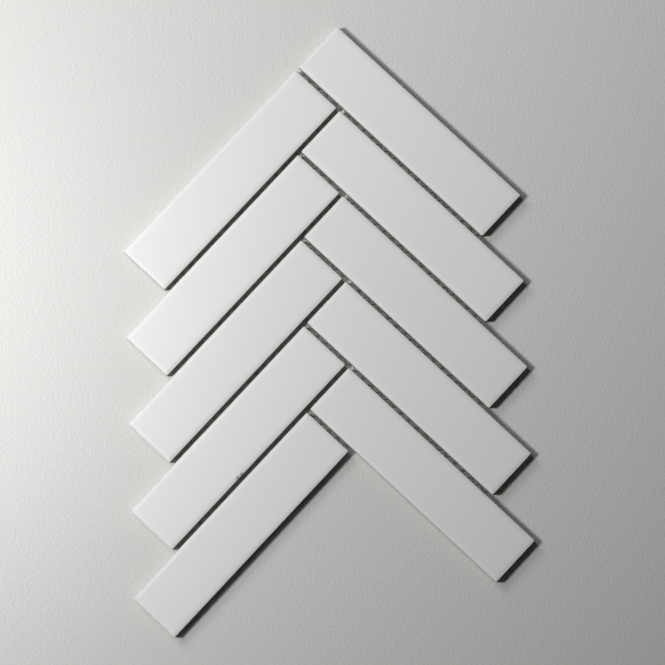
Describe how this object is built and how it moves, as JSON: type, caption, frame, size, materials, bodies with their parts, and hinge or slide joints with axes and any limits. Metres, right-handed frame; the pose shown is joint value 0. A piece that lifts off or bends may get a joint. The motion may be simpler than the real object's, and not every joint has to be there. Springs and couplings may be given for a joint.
{
  "type": "herringbone mosaic tile",
  "caption": "Mesh-backed sheet of matt white porcelain strip tiles in a herringbone chevron, for cladding a wall or floor.",
  "frame": {"origin": "under the middle of the sheet's outline, on the plane the mesh lies on", "axes": "+Y up the chevron's axis towards the peak, +X across the sheet to the right seen from the face, +Z out of the face"},
  "size_m": [0.2292, 0.3488, 0.0066],
  "materials": {
    "white_matt_porcelain": "matt white glaze on the face and edges, bare off-white body on the back",
    "glass_fibre_yarn": "white glass-fibre yarn with a dry binder"
  },
  "bodies": {
    "root": {"tile_left_1": "white_matt_porcelain", "tile_left_2": "white_matt_porcelain", "tile_left_3": "white_matt_porcelain", "tile_left_4": "white_matt_porcelain", "tile_left_5": "white_matt_porcelain", "tile_right_1": "white_matt_porcelain", "tile_right_2": "white_matt_porcelain", "tile_right_3": "white_matt_porcelain", "tile_right_4": "white_matt_porcelain", "tile_right_5": "white_matt_porcelain", "mesh_warp_yarns": "glass_fibre_yarn", "mesh_weft_yarns": "glass_fibre_yarn"}
  },
  "joints": []
}
